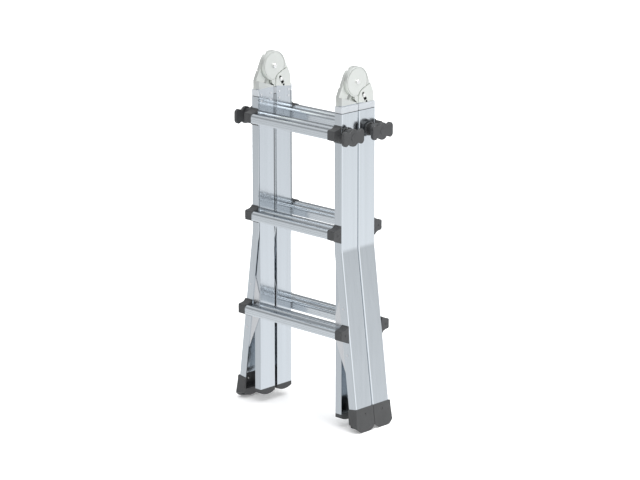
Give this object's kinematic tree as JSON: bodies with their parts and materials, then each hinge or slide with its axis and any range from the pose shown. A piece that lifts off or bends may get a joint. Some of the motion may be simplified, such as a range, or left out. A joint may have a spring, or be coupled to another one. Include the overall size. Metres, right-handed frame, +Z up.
{
  "type": "multi position ladder",
  "caption": "Folding multi-position ladder: two telescopic halves with flared feet, joined by locking hinges at the top, with slide locks on the stiles.",
  "frame": {"origin": "floor level under the boots, midway between the stiles and between the two folded halves", "axes": "+X along the rungs to the right seen from the front half; +Y from the front half to the rear half; +Z up"},
  "size_m": [0.4842, 0.1952, 1.019],
  "materials": {
    "aluminium_plate": "satin sheet",
    "aluminium_profile": "anodised, glossy, bare extruded profile",
    "boot_rubber": "dark grey, matt",
    "dark_plastic": "moulded, dark grey, fine grain",
    "grey_liner": "moulded, light grey",
    "hinge_casting": "fine blasted casting, pale",
    "rivet_aluminium": "satin",
    "steel": "zinc plated"
  },
  "bodies": {
    "front_outer": {"front_boot_screws": "steel", "front_boots": "boot_rubber", "front_guide_plates": "aluminium_plate", "front_guide_sleeves": "grey_liner", "front_lock_housings": "dark_plastic", "front_lock_springs": "steel", "front_outer_low_rung": "aluminium_profile", "front_outer_middle_rung": "aluminium_profile", "front_outer_rivets": "rivet_aluminium", "front_outer_stile_left": "aluminium_profile", "front_outer_stile_right": "aluminium_profile", "front_outer_top_rung": "aluminium_profile", "front_rung_brackets": "dark_plastic"},
    "front_inner": {"front_arm_rivets": "rivet_aluminium", "front_hinge_arm_left": "hinge_casting", "front_hinge_arm_right": "hinge_casting", "front_inner_low_rung": "aluminium_profile", "front_inner_middle_rung": "aluminium_profile", "front_inner_rail_left": "aluminium_profile", "front_inner_rail_right": "aluminium_profile", "front_inner_top_rung": "aluminium_profile", "front_lock_bushes": "steel", "front_rail_caps": "dark_plastic", "hinge_axles": "steel", "hinge_washers": "steel"},
    "rear_inner": {"rear_arm_rivets": "rivet_aluminium", "rear_hinge_arm_left": "hinge_casting", "rear_hinge_arm_right": "hinge_casting", "rear_inner_low_rung": "aluminium_profile", "rear_inner_middle_rung": "aluminium_profile", "rear_inner_rail_left": "aluminium_profile", "rear_inner_rail_right": "aluminium_profile", "rear_inner_top_rung": "aluminium_profile", "rear_lock_bushes": "steel", "rear_rail_caps": "dark_plastic"},
    "rear_outer": {"rear_boot_screws": "steel", "rear_boots": "boot_rubber", "rear_guide_plates": "aluminium_plate", "rear_guide_sleeves": "grey_liner", "rear_lock_housings": "dark_plastic", "rear_lock_springs": "steel", "rear_outer_low_rung": "aluminium_profile", "rear_outer_middle_rung": "aluminium_profile", "rear_outer_rivets": "rivet_aluminium", "rear_outer_stile_left": "aluminium_profile", "rear_outer_stile_right": "aluminium_profile", "rear_outer_top_rung": "aluminium_profile", "rear_rung_brackets": "dark_plastic"},
    "front_left_lock_handle": {"front_lock_handle_left": "dark_plastic"},
    "front_right_lock_handle": {"front_lock_handle_right": "dark_plastic"},
    "front_left_lock_pin": {"front_lock_pin_left": "steel"},
    "front_right_lock_pin": {"front_lock_pin_right": "steel"},
    "hinge_bolt_left": {"hinge_bolt_left": "steel"},
    "hinge_bolt_right": {"hinge_bolt_right": "steel"},
    "rear_left_lock_handle": {"rear_lock_handle_left": "dark_plastic"},
    "rear_right_lock_handle": {"rear_lock_handle_right": "dark_plastic"},
    "rear_left_lock_pin": {"rear_lock_pin_left": "steel"},
    "rear_right_lock_pin": {"rear_lock_pin_right": "steel"}
  },
  "joints": [
    {"name": "front_extend", "type": "slide", "parent": "front_outer", "child": "front_inner", "axis": [0, 0, 1], "range_m": [0, 0.56]},
    {"name": "hinge_fold", "type": "hinge", "parent": "front_inner", "child": "rear_inner", "pos_m": [0, 0, 0.977], "axis": [1, 0, 0], "range_deg": [0, 180]},
    {"name": "rear_extend", "type": "slide", "parent": "rear_inner", "child": "rear_outer", "axis": [0, 0, -1], "range_m": [0, 0.56]},
    {"name": "front_left_lock_slide", "type": "slide", "parent": "front_outer", "child": "front_left_lock_pin", "axis": [1, 0, 0], "range_m": [0, 0.009]},
    {"name": "front_left_lock_twist", "type": "hinge", "parent": "front_left_lock_pin", "child": "front_left_lock_handle", "pos_m": [-0.205, -0.049, 0.84], "axis": [-1, 0, 0], "range_deg": [0, 90]},
    {"name": "front_right_lock_slide", "type": "slide", "parent": "front_outer", "child": "front_right_lock_pin", "axis": [-1, 0, 0], "range_m": [0, 0.009]},
    {"name": "front_right_lock_twist", "type": "hinge", "parent": "front_right_lock_pin", "child": "front_right_lock_handle", "pos_m": [0.205, -0.049, 0.84], "axis": [1, 0, 0], "range_deg": [0, 90]},
    {"name": "rear_left_lock_slide", "type": "slide", "parent": "rear_outer", "child": "rear_left_lock_pin", "axis": [1, 0, 0], "range_m": [0, 0.009]},
    {"name": "rear_left_lock_twist", "type": "hinge", "parent": "rear_left_lock_pin", "child": "rear_left_lock_handle", "pos_m": [-0.205, 0.049, 0.84], "axis": [-1, 0, 0], "range_deg": [0, 90]},
    {"name": "rear_right_lock_slide", "type": "slide", "parent": "rear_outer", "child": "rear_right_lock_pin", "axis": [-1, 0, 0], "range_m": [0, 0.009]},
    {"name": "rear_right_lock_twist", "type": "hinge", "parent": "rear_right_lock_pin", "child": "rear_right_lock_handle", "pos_m": [0.205, 0.049, 0.84], "axis": [1, 0, 0], "range_deg": [0, 90]},
    {"name": "left_hinge_bolt_slide", "type": "slide", "parent": "rear_inner", "child": "hinge_bolt_left", "axis": [0, -0.5075, 0.8616], "range_m": [0, 0.0065]},
    {"name": "right_hinge_bolt_slide", "type": "slide", "parent": "rear_inner", "child": "hinge_bolt_right", "axis": [0, -0.5075, 0.8616], "range_m": [0, 0.0065]}
  ]
}
